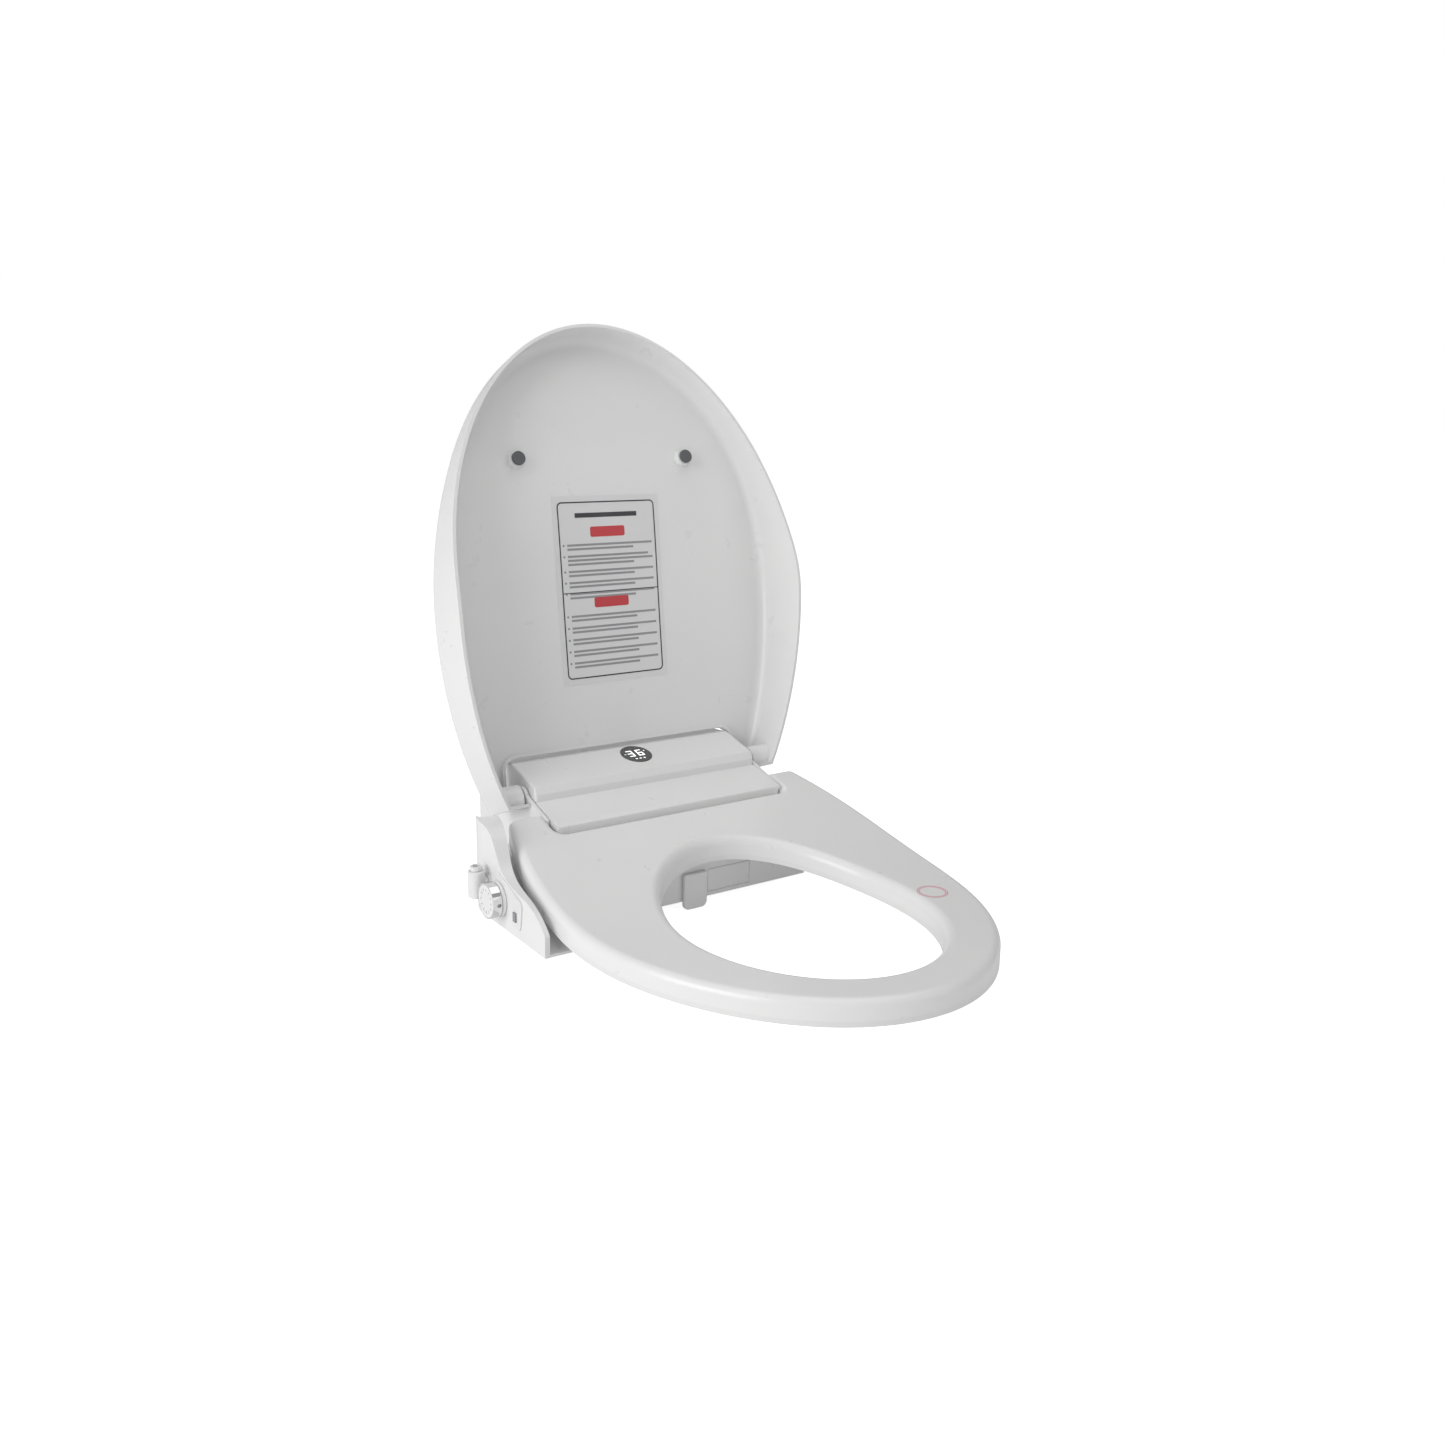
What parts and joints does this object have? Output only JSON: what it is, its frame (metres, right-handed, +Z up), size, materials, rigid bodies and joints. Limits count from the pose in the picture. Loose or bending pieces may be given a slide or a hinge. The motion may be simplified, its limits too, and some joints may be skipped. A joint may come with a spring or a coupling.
{
  "type": "electric bidet seat",
  "caption": "Electric bidet seat for a toilet bowl: hinged lid, heated seat ring, sliding wash nozzle, warm air dryer, side knob and display.",
  "frame": {"origin": "mid-point between the two fixing slots, on the underside of the mounting plate", "axes": "+Z up, -Y towards the seat's nose, +X to the right of someone facing the nose from in front of it"},
  "size_m": [0.406, 0.548, 0.5379],
  "materials": {
    "white_gloss": "gloss",
    "white_satin": "satin",
    "grey_rubber": "matte",
    "steel": "brushed",
    "chrome_trim": "polished",
    "black_lens": "gloss",
    "grey_button": "gloss",
    "board_green": "matte",
    "black_plastic": "matte",
    "label_card": "matte",
    "heater_foil": "satin",
    "brass_valve": "satin"
  },
  "bodies": {
    "base": {"mounting_plate": "steel", "base_shell": "white_gloss", "foot_pad_left": "grey_rubber", "foot_pad_right": "grey_rubber", "drain_plug": "white_satin", "power_gland": "black_plastic", "housing_body": "white_gloss", "top_cover": "white_gloss", "slope_cover": "white_gloss", "display_lens": "black_lens", "display_board": "board_green", "hinge_shaft_left": "steel", "hinge_shaft_right": "steel", "hinge_damper_left": "black_plastic", "hinge_damper_right": "black_plastic", "control_panel": "white_satin", "knob_encoder": "black_plastic", "inlet_union": "white_satin", "nozzle_guide": "white_satin", "nozzle_motor": "black_plastic", "dryer_duct": "white_satin", "dryer_heater": "steel", "fan_housing": "white_satin", "fan_motor": "steel", "heater_tank": "white_satin", "inlet_valve": "brass_valve", "water_pump": "black_plastic", "pump_hose": "grey_rubber", "control_board": "board_green", "latch_guide": "white_satin"},
    "seat": {"seat_top_shell": "white_gloss", "seat_bottom_cover": "white_satin", "seat_heater_mat": "heater_foil", "seat_sensor": "black_plastic", "seat_foot_front_left": "grey_rubber", "seat_foot_front_right": "grey_rubber", "seat_foot_rear_left": "grey_rubber", "seat_foot_rear_right": "grey_rubber"},
    "lid": {"lid_shell": "white_gloss", "lid_bumper_left": "grey_rubber", "lid_bumper_right": "grey_rubber", "lid_label": "label_card"},
    "knob": {"knob_body": "white_gloss", "knob_ring": "chrome_trim", "knob_face": "white_satin"},
    "power_button": {"power_button": "grey_button"},
    "inlet": {"inlet_elbow": "white_satin"},
    "inlet_collar": {"inlet_collar": "white_satin"},
    "nozzle": {"nozzle_tube": "white_satin", "nozzle_tip": "white_gloss", "nozzle_cover": "white_gloss"},
    "pinion": {"nozzle_pinion": "white_satin"},
    "flap": {"dryer_flap": "white_gloss"},
    "fan": {"fan_wheel": "black_plastic"},
    "latch": {"release_latch": "white_satin"}
  },
  "joints": [
    {"name": "lid_hinge", "type": "hinge", "parent": "base", "child": "lid", "pos_m": [0, -0.018, 0.08], "axis": [-1, 0, 0], "range_deg": [-111, 0]},
    {"name": "seat_hinge", "type": "hinge", "parent": "base", "child": "seat", "pos_m": [0, -0.018, 0.08], "axis": [-1, 0, 0], "range_deg": [0, 92]},
    {"name": "knob_turn", "type": "hinge", "parent": "base", "child": "knob", "pos_m": [-0.2, -0.112, 0.026], "axis": [-1, 0, 0], "continuous": true},
    {"name": "nozzle_slide", "type": "slide", "parent": "base", "child": "nozzle", "axis": [0, -0.9063, -0.4226], "range_m": [0, 0.088]},
    {"name": "pinion_spin", "type": "hinge", "parent": "base", "child": "pinion", "pos_m": [-0.001, -0.0726, 0.03474], "axis": [1, 0, 0], "range_deg": [-900, 900]},
    {"name": "power_press", "type": "slide", "parent": "base", "child": "power_button", "axis": [1, 0, 0], "range_m": [0, 0.001], "stiffness_N_per_m": 400},
    {"name": "inlet_swivel", "type": "hinge", "parent": "base", "child": "inlet", "pos_m": [-0.203, -0.088, 0.034], "axis": [1, 0, 0], "range_deg": [0, 30]},
    {"name": "collar_press", "type": "slide", "parent": "inlet", "child": "inlet_collar", "axis": [0, 0, -1], "range_m": [0, 0.0012], "stiffness_N_per_m": 500},
    {"name": "dryer_flap_hinge", "type": "hinge", "parent": "base", "child": "flap", "pos_m": [0.0395, -0.1165, 0.0112], "axis": [-1, 0, 0], "range_deg": [0, 45]},
    {"name": "fan_spin", "type": "hinge", "parent": "base", "child": "fan", "pos_m": [0.04, 0.028, 0.055], "axis": [1, 0, 0], "continuous": true},
    {"name": "latch_slide", "type": "slide", "parent": "base", "child": "latch", "axis": [-1, 0, 0], "range_m": [0, 0.0025], "stiffness_N_per_m": 300}
  ],
  "couplings": [
    {"joint": "pinion_spin", "follows": "nozzle_slide", "rad_per_m": -166.67}
  ]
}
